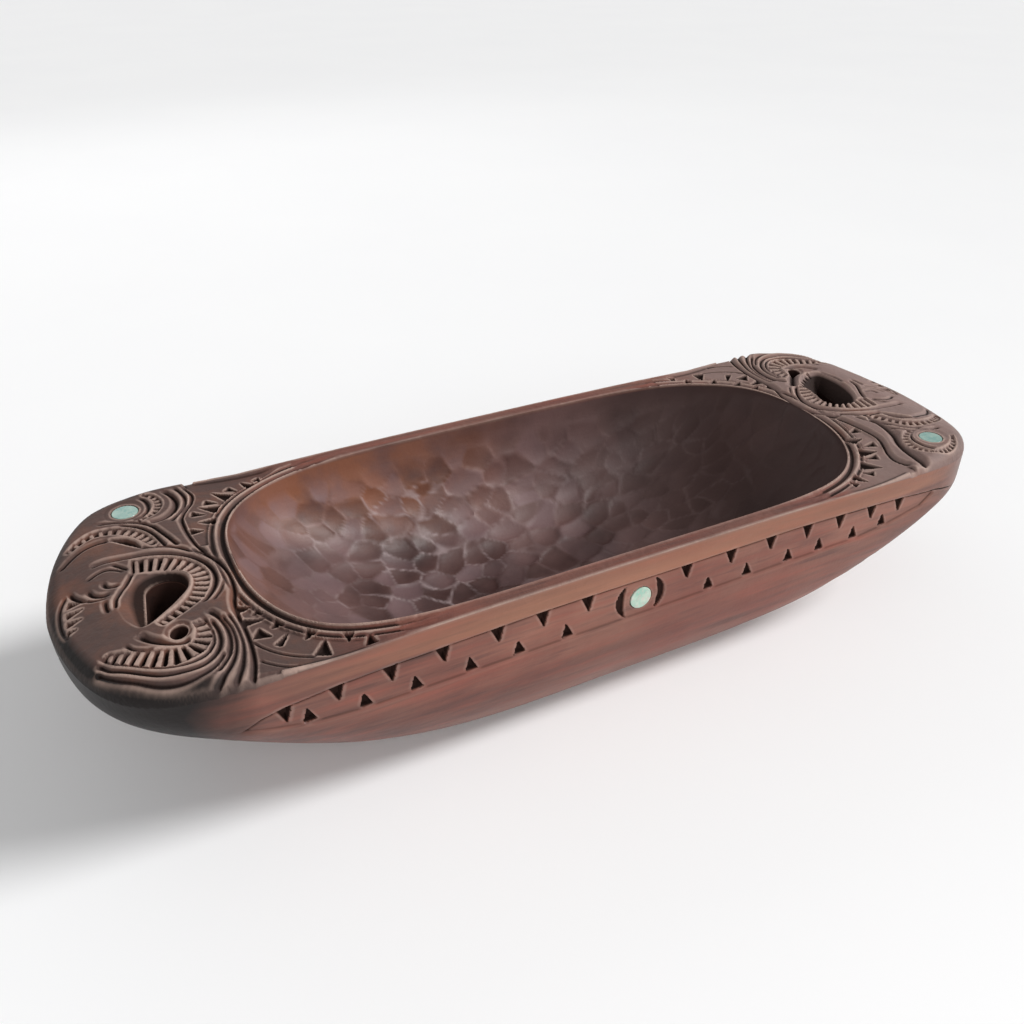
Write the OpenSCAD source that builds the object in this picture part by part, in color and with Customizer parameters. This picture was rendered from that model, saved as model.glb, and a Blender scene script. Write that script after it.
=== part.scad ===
// Carved wooden bowl: one hollowed block with shell discs glued into drilled pockets.
// Millimetres. Origin at the middle of the foot, X along the bowl, Z up.
// The bowl looks the same after half a turn about Z: each end has a large carved head on one
// side and a small one on the other.

/* [Block] */
// Length over the two carved ends
bowl_len = 540; // [500:5:580]
// Width across the long rims
bowl_w = 182; // [172:2:196]
// Height of the long rims above the foot
rim_h = 95; // [88:1:104]
// Height of the rounded nose at each end
nose_h = 22; // [18:1:26]
// How far the carved ends stand above the long rims
end_rise = 4; // [2:0.5:5]
// How far the side edges drop towards the ends
edge_drop = 8; // [4:1:10]
// Depth planed off the keel to make the flat foot
foot_cut = 1.5; // [1:0.5:2.5]

/* [Basin] */
// Length of the hollow at the rim
basin_len = 366; // [340:2:376]
// Width of the hollow at the rim
basin_w = 164; // [150:2:168]
// Depth of the hollow below the rim
basin_d = 74; // [60:1:76]
// Shift of the hollow along the bowl, as it was hollowed by hand
basin_shift = 1.5; // [-3:0.5:3]

/* [Side bands] */
// Height of the plain strip between the rim edge and the band
strip_h = 14; // [11:0.5:16]
// Height of the notched band
band_h = 22; // [20:0.5:24]
// Distance from one notch to the next
notch_pitch = 25.5; // [23:0.5:26]
// Width of an upper notch
notch_w = 7; // [5:0.5:9]
// Height of an upper notch
notch_h = 11; // [8:0.5:12]
// Depth of the notches
notch_d = 3; // [2:0.5:4]

/* [Shell discs] */
// Diameter of the disc in the middle of each side
side_disc_d = 12.5; // [10:0.5:13]
// Diameter of the disc in each small carved head
end_disc_d = 13.5; // [11:0.5:14]
// Thickness of the shell
shell_t = 2; // [1.5:0.1:2.2]
// Thickness of the glue under the shell
glue_t = 0.5; // [0.3:0.1:0.6]
// Gap round each disc in its pocket
disc_gap = 0.4; // [0.2:0.1:0.5]

/* [Pierced ends] */
// Length of the large pierced opening
eye_len = 40; // [34:1:42]
// Width of the large pierced opening at its round end
eye_w = 19; // [15:1:20]
// Width of the small pierced opening
small_eye_w = 9; // [8:0.5:10]

/* [Hidden] */

half_len = bowl_len / 2;
half_w = bowl_w / 2;
keel_d = rim_h + foot_cut;          // depth of the block before the foot is planed flat
plan_power = 14;                    // the sides run parallel, then turn in quickly
tip_margin = 1.002;                 // leaves a blunt tip at each end
keel_sweep = 3.75;                  // how long the keel stays low
keel_tuck = 2.47;                   // how sharply it rises under the nose
nose_fall = 6;                      // how far the top bends down at the very tip
basin_plan = [5.5, 2.45];           // powers of the hollow's outline, along and across
basin_floor = [2.8, 0.75];          // powers of the hollow's lengthwise floor curve
basin_wall = 2.6;                   // power of the hollow's cross section
groove_d = 1;                       // depth of the line above and below the band
groove_w = 1.8;
pocket_d = 3;
disc_drop = strip_h + band_h / 2;   // middle of the band, below the rim
end_disc_x = 223;
end_disc_y = 68;
head_mid = [221, 16];               // middle of the large opening, as a distance from the axes
head_turn = 64;                     // turn of the large opening from the long axis
small_mid = [217.5, 46.5];          // middle of the small opening
small_turn = -20;
small_form = [0.9, 1.15];           // its size along and across, over its width
upper_count = 7;
lower_count = 6;
first_notch = 31;                   // from the middle of the band to its first upper notch
first_chip = 44;                    // and to its first lower notch
hull_steps = 12;
basin_steps = 10;
end_steps = 11;
mid_steps = 32;
chip_w = notch_w - 1;
chip_h = notch_h - 3;

function smooth(t) = let (c = min(1, max(0, t))) c * c * (3 - 2 * c);
function along(x) = abs(x) / (half_len * tip_margin);
// 1 towards a small head, -1 towards a large head; side is -1 near and 1 far
function head(x, side) = -x * side / half_len;
function half_width(x, side) =
    half_w * pow(1 - pow(along(x), plan_power), 1 / (1.6 + 0.1 * head(x, side)));
function edge_z(x) = rim_h - edge_drop * pow(along(x), 3);
function top_z(x) =
    edge_z(x) + (rim_h + end_rise - edge_z(x)) * smooth((abs(x) - 150) / 65)
    - nose_fall * smooth((abs(x) - 238) / 32);
function hull_d(x) = nose_h + (keel_d - nose_h) * pow(1 - pow(along(x), keel_sweep), keel_tuck);
// Higher is boxier
function fullness(u) = 4.5 + 1.5 * u * u + 3.5 * u * u * u;
function shoulder(x) = 0.8 + 8 * smooth((abs(x) - 165) / 60);

function basin_at(x) = min(1, abs(x - basin_shift) / (basin_len / 2));
function basin_half(x) = basin_w / 2 * pow(1 - pow(basin_at(x), basin_plan[0]), 1 / basin_plan[1]);
function basin_depth(x) = basin_d * pow(1 - pow(basin_at(x), basin_floor[0]), basin_floor[1]);

// Points down the side, with a V groove at the top and the bottom of the band
function groove(at) = [[at - groove_w / 2, 0], [at, groove_d], [at + groove_w / 2, 0]];
function side_depths(x) =
    let (band_end = strip_h + band_h,
         fit = min(1, (hull_d(x) - 8) / (band_end + 5)),
         cut = 1 - smooth((abs(x) - 190) / 16))
    [for (p = concat([[0, 0]], groove(strip_h), [[strip_h + band_h / 2, 0]], groove(band_end)))
        [p[0] * fit, p[1] * cut]];

function side_point(x, side, depth, inset) =
    let (e = fullness(head(x, side)), k = hull_d(x))
    [x, side * (half_width(x, side) * pow(1 - pow(depth / k, e), 1 / e) - inset), edge_z(x) - depth];

// One half of a section, from the keel up the side and over the rim to the middle
function half_section(x, side) =
    let (e = fullness(head(x, side)),
         k = hull_d(x),
         depths = side_depths(x),
         last = depths[len(depths) - 1][0],
         start = asin(pow(last / k, e / 2)),
         w = half_width(x, side),
         s = min(shoulder(x), w * 0.6),
         rise = top_z(x) - edge_z(x),
         lip = w - s,
         inside = basin_at(x) < 1,
         hollow = basin_half(x))
    concat(
        [for (i = [hull_steps:-1:1])
            let (a = start + (90 - start) * i / hull_steps)
            [x, i == hull_steps ? 0 : side * w * pow(cos(a), 2 / e), edge_z(x) - k * pow(sin(a), 2 / e)]],
        [for (i = [len(depths) - 1:-1:0]) side_point(x, side, depths[i][0], depths[i][1])],
        [for (a = [30, 60, 90]) [x, side * (lip + s * cos(a)), edge_z(x) + max(rise, 0.4) * sin(a)]],
        [for (i = [0:basin_steps])
            let (a = 90 * i / basin_steps, last_point = i == basin_steps)
            inside
            ? [x, last_point ? 0 : side * hollow * pow(cos(a), 2 / basin_wall),
               top_z(x) - basin_depth(x) * pow(sin(a), 2 / basin_wall)]
            : [x, last_point ? 0 : side * lip * 0.92 * (1 - i / basin_steps), top_z(x)]]);

function ring(x) =
    let (near = half_section(x, -1), far = half_section(x, 1), n = len(near))
    concat(near, [for (i = [n - 2:-1:1]) far[i]]);

// Stations close up towards the tips and towards the ends of the hollow
basin_start = basin_shift - basin_len / 2;
basin_stop = basin_shift + basin_len / 2;
stations = concat(
    [for (i = [0:end_steps]) -half_len + (basin_start + half_len) * (1 - cos(90 * i / end_steps))],
    [for (i = [1:mid_steps - 1]) basin_shift - basin_len / 2 * cos(180 * i / mid_steps)],
    [for (i = [0:end_steps]) basin_stop + (half_len - basin_stop) * sin(90 * i / end_steps)]);

module solid_block() {
    rings = [for (x = stations) ring(x)];
    n = len(rings[0]);
    last = len(rings) - 1;
    walls = [for (i = [0:last - 1], j = [0:n - 1])
        let (a = i * n + j, b = i * n + (j + 1) % n, c = b + n, d = a + n)
        each [[a, b, c], [a, c, d]]];
    caps = [[for (j = [n - 1:-1:0]) j], [for (j = [0:n - 1]) last * n + j]];
    polyhedron([for (r = rings) each r], concat(walls, caps), convexity = 6);
}

// A pointed cut, facing -Y, with its flat edge at the origin
module notch(w, h) {
    rotate([90, 0, 0])
        linear_extrude(height = notch_d, center = true)
            polygon([[-w / 2, 0], [w / 2, 0], [w * 0.1, h]]);
}

module side_notches() {
    for (side = [-1, 1]) {
        for (i = [0:upper_count - 1])
            translate([side * (first_notch + i * notch_pitch), -half_w, rim_h - strip_h - 1])
                mirror([0, 0, 1]) notch(notch_w, notch_h);
        for (i = [0:lower_count - 1])
            translate([side * (first_chip + i * notch_pitch), -half_w, rim_h - strip_h - band_h + 1])
                notch(chip_w, chip_h);
    }
}

// Two curved cuts that hold the side disc between them
module crescents() {
    translate([0, -half_w, rim_h - disc_drop])
        rotate([90, 0, 0])
            for (turn = [0, 180])
                rotate([0, 0, turn])
                    linear_extrude(height = notch_d, center = true)
                        intersection() {
                            difference() {
                                circle(d = side_disc_d + 13, $fn = 48);
                                translate([-2, 0]) circle(d = side_disc_d + 10, $fn = 48);
                            }
                            translate([2, -9]) square([14, 18]);
                        }
}

module side_pocket() {
    translate([0, pocket_d - half_w, rim_h - disc_drop])
        rotate([90, 0, 0])
            cylinder(h = pocket_d * 2, d = side_disc_d + 2 * disc_gap, $fn = 64);
}

module end_pocket() {
    translate([end_disc_x, -end_disc_y, rim_h + end_rise - pocket_d])
        cylinder(h = pocket_d * 2, d = end_disc_d + 2 * disc_gap, $fn = 64);
}

// Round at one end and pointed at the other
module teardrop(length, width) {
    radius = width / 2;
    reach = length - radius;
    tangent = acos(radius / reach);
    polygon(concat([[-reach, 0]],
                   [for (i = [-12:12]) let (a = i * (180 - tangent) / 12) [radius * cos(a), radius * sin(a)]]));
}

module openings() {
    translate([-head_mid[0], -head_mid[1], rim_h / 3])
        rotate([0, 0, head_turn])
            translate([(eye_len - eye_w) / 2, 0])
                linear_extrude(height = rim_h) teardrop(eye_len, eye_w);
    translate([-small_mid[0], -small_mid[1], rim_h / 3])
        rotate([0, 0, small_turn])
            linear_extrude(height = rim_h)
                scale(small_form) circle(d = small_eye_w, $fn = 24);
}

module bowl() {
    color("saddlebrown")
        difference() {
            solid_block();
            translate([0, 0, -foot_cut - 1])
                cube([bowl_len, bowl_w, 2 * (foot_cut + 1)], center = true);
            for (turn = [0, 180])
                rotate([0, 0, turn]) {
                    openings();
                    side_pocket();
                    end_pocket();
                    crescents();
                    side_notches();
                }
        }
}

module disc(d) {
    edge = 0.3;
    cylinder(h = shell_t - edge, d = d, $fn = 64);
    translate([0, 0, shell_t - edge])
        cylinder(h = edge, d1 = d, d2 = d - 2 * edge, $fn = 64);
}

// turn is 0 on the near side and 180 on the far side
module side_disc(turn) {
    color("paleturquoise")
        rotate([0, 0, turn])
            translate([0, pocket_d - glue_t - half_w, rim_h - disc_drop])
                rotate([90, 0, 0]) disc(side_disc_d);
}

module side_glue(turn) {
    color("darkkhaki")
        rotate([0, 0, turn])
            translate([0, pocket_d - half_w, rim_h - disc_drop])
                rotate([90, 0, 0]) cylinder(h = glue_t, d = side_disc_d + 2 * disc_gap, $fn = 64);
}

// turn is 0 at the right end and 180 at the left end
module end_disc(turn) {
    color("mediumaquamarine")
        rotate([0, 0, turn])
            translate([end_disc_x, -end_disc_y, rim_h + end_rise - pocket_d + glue_t]) disc(end_disc_d);
}

module end_glue(turn) {
    color("darkkhaki")
        rotate([0, 0, turn])
            translate([end_disc_x, -end_disc_y, rim_h + end_rise - pocket_d])
                cylinder(h = glue_t, d = end_disc_d + 2 * disc_gap, $fn = 64);
}

bowl();
side_disc(0);  // near_side_disc
side_disc(180);  // far_side_disc
end_disc(180);  // left_end_disc
end_disc(0);  // right_end_disc
side_glue(0);  // near_side_glue
side_glue(180);  // far_side_glue
end_glue(180);  // left_end_glue
end_glue(0);  // right_end_glue
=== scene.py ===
"""Carved wooden bowl: looks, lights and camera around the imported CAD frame.

Shapes are worked out in millimetres and turned into metres when the mesh is made. Both carved ends come
from one description of the left end: the right end is the left one after half a turn about Z, apart
from the few cuts that are listed for one end only.
"""

import math
from types import SimpleNamespace

import bpy
import numpy as np
from mathutils import Matrix, Vector
from mathutils.geometry import delaunay_2d_cdt


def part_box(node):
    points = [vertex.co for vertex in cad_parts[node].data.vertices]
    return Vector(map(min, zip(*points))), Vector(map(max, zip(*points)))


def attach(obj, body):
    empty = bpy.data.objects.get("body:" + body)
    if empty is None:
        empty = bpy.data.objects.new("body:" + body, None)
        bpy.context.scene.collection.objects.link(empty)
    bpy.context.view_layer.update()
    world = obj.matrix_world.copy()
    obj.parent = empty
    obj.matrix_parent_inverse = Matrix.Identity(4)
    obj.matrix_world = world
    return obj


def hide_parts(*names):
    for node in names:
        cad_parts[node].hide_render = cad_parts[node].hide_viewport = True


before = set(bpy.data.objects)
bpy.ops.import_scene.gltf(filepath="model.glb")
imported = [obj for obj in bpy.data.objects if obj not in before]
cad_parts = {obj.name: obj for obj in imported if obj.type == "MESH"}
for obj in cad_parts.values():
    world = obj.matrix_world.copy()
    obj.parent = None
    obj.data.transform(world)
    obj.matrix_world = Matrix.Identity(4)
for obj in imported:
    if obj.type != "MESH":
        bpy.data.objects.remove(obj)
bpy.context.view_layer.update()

# ---------------- sizes

MM = 0.001
low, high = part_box("bowl")
HALF_LEN = (high.x - low.x) / 2 / MM
HALF_W = (high.y - low.y) / 2 / MM
END_TOP = high.z / MM
END_RISE = 4  # the ends stand this far above the long rims
RIM_H = END_TOP - END_RISE
RISE_FROM, RISE_OVER = 150, 65  # the rise begins here and takes this long
NOSE_H = 22  # depth of the hull at the very end
NOSE_ROUND = 12  # length over which the nose rounds off
NOSE_FALL, NOSE_FROM, NOSE_OVER = 6, 238, 32  # how the top falls towards the nose
EDGE_DROP = 8  # fall of the side edge from the middle to the nose
FOOT_CUT = 1.5  # planed off the keel for the foot
KEEL_D = RIM_H + FOOT_CUT
KEEL_SWEEP, KEEL_TUCK = 3.75, 2.47  # powers of the keel's curve
PLAN_POWER = 14  # squareness of the plan
BASIN_SHIFT = 1.5
BASIN_HALF_LEN, BASIN_HALF_W, BASIN_D = 183, 82, 74
BASIN_PLAN = (5.5, 2.45)  # powers of the hollow's plan, floor and wall
BASIN_FLOOR = (2.8, 0.75)
BASIN_WALL = 2.6
LIP_DROP = 0.25  # the hollow's lip lies this much lower than the top

disc_low, disc_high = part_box("left_end_disc")
side_low, side_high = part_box("near_side_disc")
POCKET_CLEAR, POCKET_D = 0.4, 3
END_DISC = ((disc_low + disc_high) / 2 / MM).xy
END_POCKET_R = (disc_high.x - disc_low.x) / 2 / MM + POCKET_CLEAR
SIDE_DISC_V = RIM_H - (side_low.z + side_high.z) / 2 / MM
SIDE_POCKET_R = (side_high.x - side_low.x) / 2 / MM + POCKET_CLEAR

# Pierced openings of the left end: middle, turn from the long axis, sizes
LARGE_EYE = dict(middle=(-221, -16), turn=64, length=40, width=19)
SMALL_EYE = dict(middle=(-217.5, -46.5), turn=-20, half=(4.05, 5.2))

# The mesh
FINE, MEDIUM, COARSE = 0.72, 1.7, 5.0  # grid steps on the carved ends, the rims and the keel
EYE_STEP, BASIN_STEP = 0.75, 1.6  # steps round the openings and over the hollow's floor
WALL_ROWS = 24  # rings of points down the hollow's wall
BORE_ROWS = (0.03, 0.09, 0.2, 0.34, 0.5, 0.66, 0.82, 0.94)
KEEL_SHARE = 0.17  # how far the sides reach from the edge to the keel
SIDE_ROWS = [0.7, 2.2, 4.5, 7.5, 10.5, *np.arange(11.6, 39.2, 0.72), 41, 44, 48, 53, 58]
LOWER_ROWS = (0.35, 0.7, 1.0)  # the last rows of the sides, below the band
SLIVER = 0.002  # twice the area under which a triangle is dropped
CARVED_FROM = 128  # the ends are carved outside this distance
RIM_FROM = 70  # the long rims lie outside this distance
END_MARGIN, RIM_MARGIN = 0.38, 0.75  # no grid point lies nearer to a loop than this
KEEL_BEND = 180  # the sides' lines meet the keel at a slant outside this distance
ON_EDGE = 0.02  # a point nearer than this counts as on the edge
FAR = 1e9
SHARP_ANGLE = 48
TOP, SIDE, BORE, HOLLOW = range(4)  # zones of the surface


# ---------------- form of the block

def smooth(t):
    t = np.clip(t, 0, 1)
    return t * t * (3 - 2 * t)


def along(x):
    return np.minimum(np.abs(x) / HALF_LEN, 1)


def lean(x, side):
    """1 towards a small head, -1 towards a large head; side is -1 near and 1 far."""
    return -x * side / HALF_LEN


def half_width(x, side):
    return HALF_W * (1 - along(x) ** PLAN_POWER) ** (1 / (1.6 + 0.1 * lean(x, side)))


def edge_z(x):
    return RIM_H - EDGE_DROP * along(x) ** 3


def top_z(x):
    rise = (END_TOP - edge_z(x)) * smooth((np.abs(x) - RISE_FROM) / RISE_OVER)
    return edge_z(x) + rise - NOSE_FALL * smooth((np.abs(x) - NOSE_FROM) / NOSE_OVER)


def shoulder(x):
    return 0.8 + 8 * smooth((np.abs(x) - 165) / 60)


def hull_depth(x, y):
    """Depth of the underside below the side edge."""
    side = np.where(y < 0, -1, 1)
    lean_here = lean(x, side)
    power = 4.5 + 1.5 * lean_here ** 2 + 3.5 * lean_here ** 3
    keel = NOSE_H + (KEEL_D - NOSE_H) * (1 - along(x) ** KEEL_SWEEP) ** KEEL_TUCK
    tip = np.clip((np.abs(x) - HALF_LEN + NOSE_ROUND) / NOSE_ROUND, 0, 1)
    across = np.clip(np.abs(y) / np.maximum(half_width(x, side), 1e-6), 0, 1)
    return keel * (1 - tip ** 2.4) ** (1 / 2.4) * (1 - across ** power) ** (1 / power)


def basin_depth(x, y):
    at = np.minimum(np.abs(x - BASIN_SHIFT) / BASIN_HALF_LEN, 1)
    half = BASIN_HALF_W * (1 - at ** BASIN_PLAN[0]) ** (1 / BASIN_PLAN[1])
    across = np.clip(np.abs(y) / np.maximum(half, 1e-6), 0, 1)
    depth = BASIN_D * (1 - at ** BASIN_FLOOR[0]) ** BASIN_FLOOR[1]
    return depth * (1 - across ** BASIN_WALL) ** (1 / BASIN_WALL)


# ---------------- curves and distances

def spline(points, step=1.5):
    """A smooth curve through the points."""
    p = np.array(points, float)
    p = np.vstack([2 * p[0] - p[1], p, 2 * p[-1] - p[-2]])
    out = []
    for a, b, c, d in zip(p[:-3], p[1:-2], p[2:-1], p[3:]):
        count = max(2, int(math.dist(b, c) / step))
        t = (np.arange(count) / count)[:, None]
        out.append(0.5 * (2 * b + (c - a) * t + (2 * a - 5 * b + 4 * c - d) * t ** 2
                          + (3 * b - a - 3 * c + d) * t ** 3))
    out.append(p[-2:-1])
    return np.vstack(out)


def nearest(curve, x, y):
    """Distance of each point from the curve, and how far along the curve it is."""
    a, b = curve[:-1], curve[1:]
    step = b - a
    size = np.hypot(step[:, 0], step[:, 1])
    start = np.concatenate([[0], np.cumsum(size)[:-1]])
    best, where = np.full(len(x), FAR), np.zeros(len(x))
    for i in range(len(a)):
        t = np.clip(((x - a[i, 0]) * step[i, 0] + (y - a[i, 1]) * step[i, 1]) / size[i] ** 2, 0, 1)
        d = np.hypot(x - a[i, 0] - t * step[i, 0], y - a[i, 1] - t * step[i, 1])
        closer = d < best
        best[closer] = d[closer]
        where[closer] = start[i] + t[closer] * size[i]
    return best, where, start[-1] + size[-1]


def closed(loop):
    return np.vstack([loop, loop[:1]])


def gap_to(loop, x, y, step=1):
    """Distance of each point from a closed loop, of which every step-th point is used."""
    return nearest(closed(loop[::step]), x, y)[0]


def resample(loop, spacing):
    """Points along a closed dense loop, spacing(x, y) apart."""
    ring = closed(loop)
    seg = np.hypot(*np.diff(ring, axis=0).T)
    weight = seg / spacing(loop[:, 0], loop[:, 1])
    total = np.concatenate([[0], np.cumsum(weight)])
    count = int(round(total[-1]))
    at = np.arange(count) * total[-1] / count
    return np.column_stack([np.interp(at, total, ring[:, k]) for k in (0, 1)])


def outline_loop():
    angle = np.linspace(-math.pi / 2, math.pi / 2, 3000)
    x = HALF_LEN * np.sin(angle)
    near = np.column_stack([x, -half_width(x, -1)])
    far = np.column_stack([x, half_width(x, 1)])[::-1]
    return resample(np.vstack([near[:-1], far[:-1]]),
                    lambda x, y: 0.85 + 0.5 * smooth((np.abs(x) - 226) / 12))


def basin_loop():
    angle = np.linspace(-math.pi, math.pi, 4001)[:-1]
    at = np.sin(angle)
    x = BASIN_SHIFT + BASIN_HALF_LEN * at
    half = BASIN_HALF_W * (1 - np.abs(at) ** BASIN_PLAN[0]) ** (1 / BASIN_PLAN[1])
    y = np.where(np.cos(angle) > 0, -half, half)
    return resample(np.column_stack([x, y]), lambda x, y: 0.9 + 0.5 * smooth((110 - np.abs(x)) / 20))


def turned(points, middle, turn):
    a = math.radians(turn)
    spin = np.array([[math.cos(a), math.sin(a)], [-math.sin(a), math.cos(a)]])
    return points @ spin + np.array(middle)


def large_eye_loop():
    """Round at one end and pointed at the other."""
    radius = LARGE_EYE["width"] / 2
    reach = LARGE_EYE["length"] - radius
    tangent = math.acos(radius / reach)
    angle = np.linspace(-(math.pi - tangent), math.pi - tangent, 60)
    arc = radius * np.column_stack([np.cos(angle), np.sin(angle)])
    loop = resample(np.vstack([arc, [[-reach, 0]]]), lambda x, y: EYE_STEP)
    shift = (LARGE_EYE["length"] - LARGE_EYE["width"]) / 2
    return turned(loop + [shift, 0], LARGE_EYE["middle"], LARGE_EYE["turn"])


def small_eye_loop():
    angle = np.linspace(0, 2 * math.pi, 41)[:-1]
    loop = np.column_stack([SMALL_EYE["half"][0] * np.cos(angle), SMALL_EYE["half"][1] * np.sin(angle)])
    return turned(loop, SMALL_EYE["middle"], SMALL_EYE["turn"])


# ---------------- carving of the left end
# Every list of points is one stroke of the carving, in millimetres from the bowl's middle.

# Smooth V cuts between rounded ridges: half width, depth, line
CUTS = (
    # round the lower scroll and the nose
    (1.8, 1.7, ((-254, -54), (-247, -64), (-240, -71), (-232, -77.5), (-224, -80.5), (-216, -80),
            (-208, -76), (-202, -68))),
    (1.6, 2.0, ((-252.5, -50), (-248.5, -57), (-243, -62), (-236, -68), (-229, -72.5), (-221, -74),
            (-213, -73.5), (-206.5, -68.5), (-202.8, -61), (-201.8, -52), (-203, -43))),
    (1.1, 1.7, ((-251, -47.5), (-246.5, -54), (-240.5, -59.5), (-234, -64.5), (-227, -68.3), (-219, -70),
            (-211.5, -68.5), (-206, -62), (-204.2, -54), (-204.6, -46), (-206, -41))),
    # the limb between the head and the long rim
    (1.6, 2.1, ((-209, -81), (-201.5, -71), (-198.5, -62), (-197.8, -52), (-199.5, -42), (-203, -36))),
    (1.4, 1.9, ((-214, -92), (-206.5, -84), (-200.5, -75), (-196.8, -64), (-196, -52), (-198, -41))),
    (1.3, 1.6, ((-206, -93), (-200, -85), (-196.5, -76), (-194, -65), (-193.7, -52), (-195, -41))),
    (1.6, 2.8, ((-198, -95), (-194.5, -86), (-192.3, -77), (-191, -66), (-190.6, -54), (-191, -42),
            (-190, -32), (-188, -24), (-186.8, -14), (-187, -5), (-189, 4), (-194, 14), (-199, 19))),
    # both sides of the big ridge over the upper scroll
    (1.5, 2.5, ((-246, 24), (-238, 24.5), (-229, 23.5), (-219, 22), (-209, 18), (-200.5, 12), (-195, 4),
            (-193, -5), (-194.5, -14), (-198.5, -22), (-204, -29))),
    (0.8, 0.7, ((-205, 22), (-197, 13.5), (-191.5, 4), (-190, -6), (-190.5, -14), (-193.5, -22),
            (-199, -30))),
    (1.3, 1.7, ((-222, 29.5), (-215, 27.5), (-208, 24.5), (-203, 20.5), (-198, 15.5))),
    (1.5, 1.4, ((-260, 33), (-254, 38.5), (-248, 42), (-241, 43.2), (-234, 43))),
    # round the second notched band
    (1.2, 1.8, ((-228, 56.5), (-221, 51.5), (-216, 45.5), (-213, 39), (-211, 31), (-209.5, 25))),
    (1.2, 1.9, ((-238, 61.5), (-229, 59.5), (-221, 56), (-216, 52), (-212.5, 47.5), (-209.8, 41),
            (-206.5, 32), (-204, 24))),
    # round the small head with the shell eye
    (1.3, 1.6, ((-222, 57.8), (-216.5, 59.5), (-212.5, 63.5), (-211, 69), (-211.5, 75), (-214, 80))),
    (1.4, 2.4, ((-190, 85), (-187.2, 76), (-189, 68), (-193, 60.5), (-197, 52), (-197.6, 42), (-197, 32),
            (-195.5, 22), (-192.5, 12))),
    # the eye, its lid and the snout
    (1.2, 1.6, ((-249.5, 5), (-247.8, 0), (-244.5, -3.2), (-240, -4.5))),
    (1.0, 1.2, ((-249, 13), (-244.5, 15.6), (-239.5, 16.5), (-235, 14.5), (-231.5, 11))),
    (1.1, 1.8, ((-242, 6.8), (-241.6, 3.5), (-239.5, 1.5), (-235.5, 0.8))),
    (1.0, 1.3, ((-236.5, 20), (-232.8, 16), (-229.8, 11.5))),
    (1.0, 1.6, ((-228.5, 8.5), (-232, 1.5), (-235.5, -4), (-238.6, -10), (-239.8, -17))),
    (1.2, 1.6, ((-243.2, -8), (-243.6, -13), (-243, -18.5))),
    (0.8, 1.0, ((-252.5, 1), (-249.5, -3.5), (-245.5, -5.6), (-241.5, -6.5))),
    (1.1, 1.9, ((-257.5, 10), (-255.8, 5), (-253, 0.5), (-250.5, -2.5))),
    (0.9, 0.9, ((-259, 9), (-262.6, 1), (-263.8, -8), (-263.4, -17), (-261.5, -24))),
    # the tongue beside the small opening
    (1.8, 2.8, ((-234, -41), (-230, -46.5), (-225, -50.8), (-219, -54), (-213.5, -54.5))),
    (0.9, 1.2, ((-240, -46), (-238, -50), (-233.5, -53), (-229, -54.5))),
    (0.8, 1.0, ((-234.5, -17), (-234.8, -24), (-233.4, -31), (-231.6, -37))),
    # three long flutes from the limb to the rim
    (1.9, 2.1, ((-191.5, -61), (-187.5, -69), (-182, -75.5), (-175, -80.5), (-166, -84.5))),
    (1.7, 2.1, ((-191.5, -77), (-187.5, -81.5), (-181, -86), (-173, -88.5))),
    (1.2, 1.6, ((-191, -86.5), (-187, -88.8), (-182, -90))),
)

# Notched bands: distance between notches, then width and place along the line
BANDS = (
    (4.2, ((13, -228, 14), (13.5, -221, 13), (12.5, -214, 11), (10.5, -207, 7), (9, -201.5, 1),
            (9, -199.5, -7), (8.5, -201.5, -16), (8, -206, -24), (7, -212, -30), (6.5, -218, -34),
            (5.5, -224, -38))),
    (4.4, ((5, -249, -48.5), (7.5, -243, -52.5), (10, -236, -57), (12, -229, -60.5), (13, -221, -62.5),
            (11.5, -213.5, -61), (8.5, -208.8, -55.5), (7, -207.5, -49), (6, -208.5, -43))),
    (4.3, ((4.5, -255, 45.5), (6, -248.5, 49.6), (6.5, -242, 52), (7, -236, 52), (7.5, -230, 50.5),
            (7.5, -224, 46.5), (7, -219, 40), (6, -216, 33.5), (4.5, -213.5, 28))),
    (3.6, ((4, -218, 56), (4.6, -210.5, 60), (5, -206.6, 66), (5, -205.6, 72.5), (4.8, -208, 79),
            (3.6, -212, 82))),
)

# Cuts and a band that only one end has; the right end's are given as they would lie on the left end
LEFT_CUTS = (
    (1.5, 2.4, ((-213, 51), (-205.5, 53.5), (-199.5, 60), (-196.8, 68), (-197.5, 76), (-201, 83))),
    (1.2, 1.7, ((-203, 48.5), (-198, 56), (-193.5, 63), (-191.5, 71), (-192.5, 79), (-195, 85))),
)
RIGHT_CUTS = (
    (2.6, 3.0, ((-197, 90), (-198.5, 80), (-200, 71), (-203, 62), (-207.5, 54), (-210, 46), (-211, 38),
            (-210, 30))),
    (2.9, 3.4, ((-201.5, -29), (-206, -34.5), (-211.5, -41), (-217.5, -47), (-221, -50.5))),
)
RIGHT_BANDS = (
    (3.6, ((4, -212, 82), (4.4, -218, 83), (4.4, -225, 81.5), (4, -231, 78), (2.6, -236, 72.5))),
)

# Sloping mouths of the large openings, left end and right end: depth at the opening, then the outer edge
MOUTHS = (
    (6.0, ((-225, 7.5), (-215, 6.5), (-208, 3), (-204.8, -4), (-206, -14), (-211.5, -22), (-220, -30),
            (-230.5, -37), (-236.5, -31), (-239, -21), (-239.5, -11), (-236.5, -2), (-231, 4.5))),
    (13.0, ((-222, 9.5), (-213, 9), (-206, 5.5), (-203.2, -3), (-204.5, -12), (-206, -20), (-204.5, -28),
            (-212, -37), (-222, -40), (-231, -37), (-234.5, -25), (-233.5, -13), (-229, -2))),
)

# A dark pocket that narrows to the right: half width and place along its middle
LENS = ((1.6, -233, 43), (3, -228.5, 40), (2.8, -225, 36), (1.4, -221.8, 30.5))

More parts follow.
